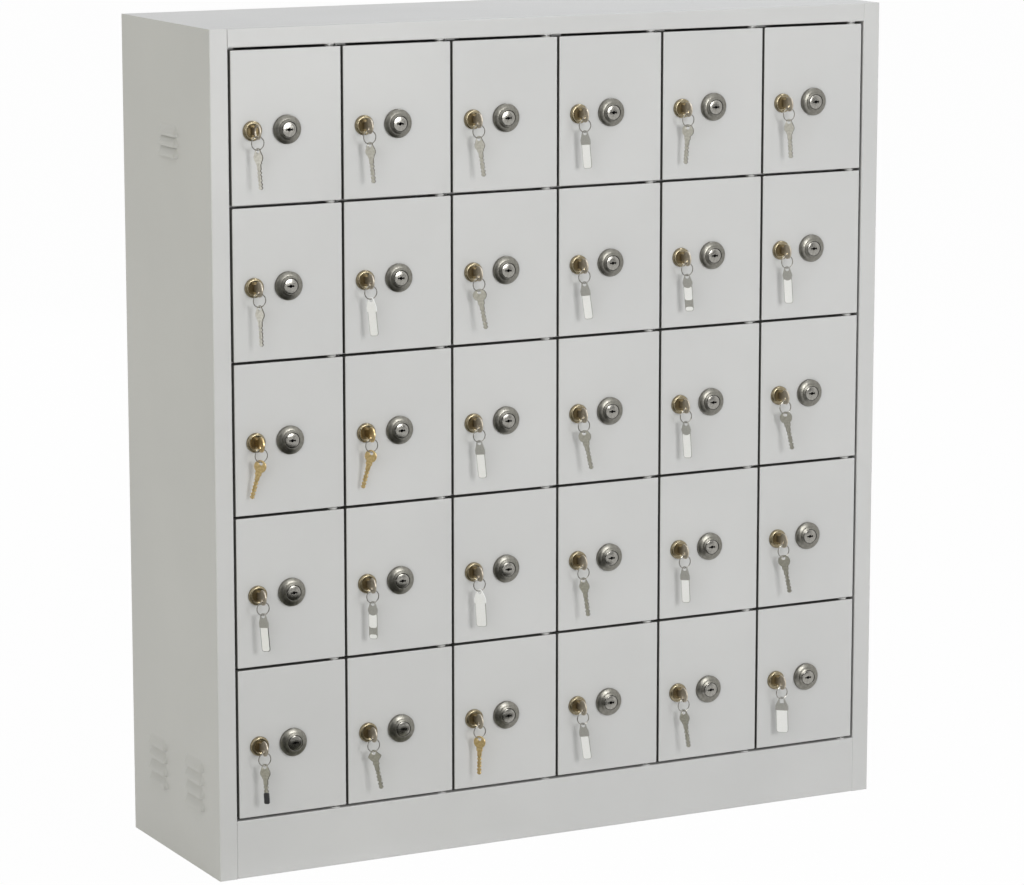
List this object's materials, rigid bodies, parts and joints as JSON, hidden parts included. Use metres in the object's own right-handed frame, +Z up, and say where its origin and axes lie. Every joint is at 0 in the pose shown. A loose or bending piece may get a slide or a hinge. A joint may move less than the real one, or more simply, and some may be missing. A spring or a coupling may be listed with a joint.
{
  "type": "mobile phone locker",
  "caption": "Free-standing grey sheet-steel locker for mobile phones: a grid of small hinged doors, each with a brass user lock, a steel control lock and a hanging key.",
  "frame": {"origin": "centre of the footprint on the floor, keys included", "axes": "+Z up, +X to the right seen from the front, +Y from the doors to the back"},
  "size_m": [0.908, 0.29, 1.005],
  "materials": {
    "grey_paint": "light grey powder coat",
    "brass": "polished brass",
    "nickel": "nickel plate",
    "zinc": "bright zinc plate"
  },
  "bodies": {
    "carcass": {"left_side_panel": "grey_paint", "right_side_panel": "grey_paint", "top_panel": "grey_paint", "back_panel": "grey_paint", "floor_panel": "grey_paint", "plinth_panel": "grey_paint", "divider_1": "grey_paint", "divider_2": "grey_paint", "divider_3": "grey_paint", "divider_4": "grey_paint", "divider_5": "grey_paint", "shelves_level_1": "grey_paint", "shelves_level_2": "grey_paint", "shelves_level_3": "grey_paint", "shelves_level_4": "grey_paint", "hinge_lugs": "zinc", "pivot_pins": "zinc"},
    "door_r1_c1": {"door_r1_c1": "grey_paint", "user_lock_housing": "brass", "lock_nuts": "zinc", "control_lock_rose": "nickel", "control_lock_housing": "nickel"},
    "door_r1_c2": {"door_r1_c2": "grey_paint"},
    "door_r1_c3": {"door_r1_c3": "grey_paint"},
    "door_r1_c4": {"door_r1_c4": "grey_paint"},
    "door_r1_c5": {"door_r1_c5": "grey_paint"},
    "door_r1_c6": {"door_r1_c6": "grey_paint"},
    "door_r2_c1": {"door_r2_c1": "grey_paint"},
    "door_r2_c2": {"door_r2_c2": "grey_paint"},
    "door_r2_c3": {"door_r2_c3": "grey_paint"},
    "door_r2_c4": {"door_r2_c4": "grey_paint"},
    "door_r2_c5": {"door_r2_c5": "grey_paint"},
    "door_r2_c6": {"door_r2_c6": "grey_paint"},
    "door_r3_c1": {"door_r3_c1": "grey_paint"},
    "door_r3_c2": {"door_r3_c2": "grey_paint"},
    "door_r3_c3": {"door_r3_c3": "grey_paint"},
    "door_r3_c4": {"door_r3_c4": "grey_paint"},
    "door_r3_c5": {"door_r3_c5": "grey_paint"},
    "door_r3_c6": {"door_r3_c6": "grey_paint"},
    "door_r4_c1": {"door_r4_c1": "grey_paint"},
    "door_r4_c2": {"door_r4_c2": "grey_paint"},
    "door_r4_c3": {"door_r4_c3": "grey_paint"},
    "door_r4_c4": {"door_r4_c4": "grey_paint"},
    "door_r4_c5": {"door_r4_c5": "grey_paint"},
    "door_r4_c6": {"door_r4_c6": "grey_paint"},
    "door_r5_c1": {"door_r5_c1": "grey_paint"},
    "door_r5_c2": {"door_r5_c2": "grey_paint"},
    "door_r5_c3": {"door_r5_c3": "grey_paint"},
    "door_r5_c4": {"door_r5_c4": "grey_paint"},
    "door_r5_c5": {"door_r5_c5": "grey_paint"},
    "door_r5_c6": {"door_r5_c6": "grey_paint"},
    "user_lock": {"user_lock_plug": "brass", "user_lock_cam": "zinc", "user_cam_screw": "zinc", "user_key": "brass"},
    "key_ring": {"key_ring": "nickel"},
    "spare_key": {"spare_key": "nickel"},
    "control_lock": {"control_lock_plug": "nickel", "control_lock_cam": "zinc", "control_cam_screw": "zinc"}
  },
  "joints": [
    {"name": "user_lock_turn", "type": "hinge", "parent": "door_r1_c1", "child": "user_lock", "pos_m": [-0.398, -0.12, 0.88697], "axis": [0, 1, 0], "range_deg": [0, 90]},
    {"name": "control_lock_turn", "type": "hinge", "parent": "door_r1_c1", "child": "control_lock", "pos_m": [-0.35458, -0.12, 0.88697], "axis": [0, 1, 0], "range_deg": [0, 90]},
    {"name": "key_ring_hang", "type": "hinge", "parent": "user_lock", "child": "key_ring", "pos_m": [-0.39825, -0.136, 0.87597], "axis": [0, 1, 0], "range_deg": [-90, 0]},
    {"name": "spare_key_swing", "type": "hinge", "parent": "key_ring", "child": "spare_key", "pos_m": [-0.398, -0.136, 0.86637], "axis": [-1, 0, 0], "range_deg": [-12, 40]},
    {"name": "door_r1_c1_hinge", "type": "hinge", "parent": "carcass", "child": "door_r1_c1", "pos_m": [-0.29717, -0.113, 0.89055], "axis": [0, 0, 1], "range_deg": [0, 110]},
    {"name": "door_r1_c2_hinge", "type": "hinge", "parent": "carcass", "child": "door_r1_c2", "pos_m": [-0.15533, -0.113, 0.89055], "axis": [0, 0, 1], "range_deg": [0, 110]},
    {"name": "door_r1_c3_hinge", "type": "hinge", "parent": "carcass", "child": "door_r1_c3", "pos_m": [-0.0135, -0.113, 0.89055], "axis": [0, 0, 1], "range_deg": [0, 110]},
    {"name": "door_r1_c4_hinge", "type": "hinge", "parent": "carcass", "child": "door_r1_c4", "pos_m": [0.12833, -0.113, 0.89055], "axis": [0, 0, 1], "range_deg": [0, 110]},
    {"name": "door_r1_c5_hinge", "type": "hinge", "parent": "carcass", "child": "door_r1_c5", "pos_m": [0.27017, -0.113, 0.89055], "axis": [0, 0, 1], "range_deg": [0, 110]},
    {"name": "door_r1_c6_hinge", "type": "hinge", "parent": "carcass", "child": "door_r1_c6", "pos_m": [0.412, -0.113, 0.89055], "axis": [0, 0, 1], "range_deg": [0, 110]},
    {"name": "door_r2_c1_hinge", "type": "hinge", "parent": "carcass", "child": "door_r2_c1", "pos_m": [-0.29717, -0.113, 0.70865], "axis": [0, 0, 1], "range_deg": [0, 110]},
    {"name": "door_r2_c2_hinge", "type": "hinge", "parent": "carcass", "child": "door_r2_c2", "pos_m": [-0.15533, -0.113, 0.70865], "axis": [0, 0, 1], "range_deg": [0, 110]},
    {"name": "door_r2_c3_hinge", "type": "hinge", "parent": "carcass", "child": "door_r2_c3", "pos_m": [-0.0135, -0.113, 0.70865], "axis": [0, 0, 1], "range_deg": [0, 110]},
    {"name": "door_r2_c4_hinge", "type": "hinge", "parent": "carcass", "child": "door_r2_c4", "pos_m": [0.12833, -0.113, 0.70865], "axis": [0, 0, 1], "range_deg": [0, 110]},
    {"name": "door_r2_c5_hinge", "type": "hinge", "parent": "carcass", "child": "door_r2_c5", "pos_m": [0.27017, -0.113, 0.70865], "axis": [0, 0, 1], "range_deg": [0, 110]},
    {"name": "door_r2_c6_hinge", "type": "hinge", "parent": "carcass", "child": "door_r2_c6", "pos_m": [0.412, -0.113, 0.70865], "axis": [0, 0, 1], "range_deg": [0, 110]},
    {"name": "door_r3_c1_hinge", "type": "hinge", "parent": "carcass", "child": "door_r3_c1", "pos_m": [-0.29717, -0.113, 0.52675], "axis": [0, 0, 1], "range_deg": [0, 110]},
    {"name": "door_r3_c2_hinge", "type": "hinge", "parent": "carcass", "child": "door_r3_c2", "pos_m": [-0.15533, -0.113, 0.52675], "axis": [0, 0, 1], "range_deg": [0, 110]},
    {"name": "door_r3_c3_hinge", "type": "hinge", "parent": "carcass", "child": "door_r3_c3", "pos_m": [-0.0135, -0.113, 0.52675], "axis": [0, 0, 1], "range_deg": [0, 110]},
    {"name": "door_r3_c4_hinge", "type": "hinge", "parent": "carcass", "child": "door_r3_c4", "pos_m": [0.12833, -0.113, 0.52675], "axis": [0, 0, 1], "range_deg": [0, 110]},
    {"name": "door_r3_c5_hinge", "type": "hinge", "parent": "carcass", "child": "door_r3_c5", "pos_m": [0.27017, -0.113, 0.52675], "axis": [0, 0, 1], "range_deg": [0, 110]},
    {"name": "door_r3_c6_hinge", "type": "hinge", "parent": "carcass", "child": "door_r3_c6", "pos_m": [0.412, -0.113, 0.52675], "axis": [0, 0, 1], "range_deg": [0, 110]},
    {"name": "door_r4_c1_hinge", "type": "hinge", "parent": "carcass", "child": "door_r4_c1", "pos_m": [-0.29717, -0.113, 0.34485], "axis": [0, 0, 1], "range_deg": [0, 110]},
    {"name": "door_r4_c2_hinge", "type": "hinge", "parent": "carcass", "child": "door_r4_c2", "pos_m": [-0.15533, -0.113, 0.34485], "axis": [0, 0, 1], "range_deg": [0, 110]},
    {"name": "door_r4_c3_hinge", "type": "hinge", "parent": "carcass", "child": "door_r4_c3", "pos_m": [-0.0135, -0.113, 0.34485], "axis": [0, 0, 1], "range_deg": [0, 110]},
    {"name": "door_r4_c4_hinge", "type": "hinge", "parent": "carcass", "child": "door_r4_c4", "pos_m": [0.12833, -0.113, 0.34485], "axis": [0, 0, 1], "range_deg": [0, 110]},
    {"name": "door_r4_c5_hinge", "type": "hinge", "parent": "carcass", "child": "door_r4_c5", "pos_m": [0.27017, -0.113, 0.34485], "axis": [0, 0, 1], "range_deg": [0, 110]},
    {"name": "door_r4_c6_hinge", "type": "hinge", "parent": "carcass", "child": "door_r4_c6", "pos_m": [0.412, -0.113, 0.34485], "axis": [0, 0, 1], "range_deg": [0, 110]},
    {"name": "door_r5_c1_hinge", "type": "hinge", "parent": "carcass", "child": "door_r5_c1", "pos_m": [-0.29717, -0.113, 0.16295], "axis": [0, 0, 1], "range_deg": [0, 110]},
    {"name": "door_r5_c2_hinge", "type": "hinge", "parent": "carcass", "child": "door_r5_c2", "pos_m": [-0.15533, -0.113, 0.16295], "axis": [0, 0, 1], "range_deg": [0, 110]},
    {"name": "door_r5_c3_hinge", "type": "hinge", "parent": "carcass", "child": "door_r5_c3", "pos_m": [-0.0135, -0.113, 0.16295], "axis": [0, 0, 1], "range_deg": [0, 110]},
    {"name": "door_r5_c4_hinge", "type": "hinge", "parent": "carcass", "child": "door_r5_c4", "pos_m": [0.12833, -0.113, 0.16295], "axis": [0, 0, 1], "range_deg": [0, 110]},
    {"name": "door_r5_c5_hinge", "type": "hinge", "parent": "carcass", "child": "door_r5_c5", "pos_m": [0.27017, -0.113, 0.16295], "axis": [0, 0, 1], "range_deg": [0, 110]},
    {"name": "door_r5_c6_hinge", "type": "hinge", "parent": "carcass", "child": "door_r5_c6", "pos_m": [0.412, -0.113, 0.16295], "axis": [0, 0, 1], "range_deg": [0, 110]}
  ],
  "couplings": [
    {"joint": "key_ring_hang", "follows": "user_lock_turn", "ratio": -1}
  ]
}
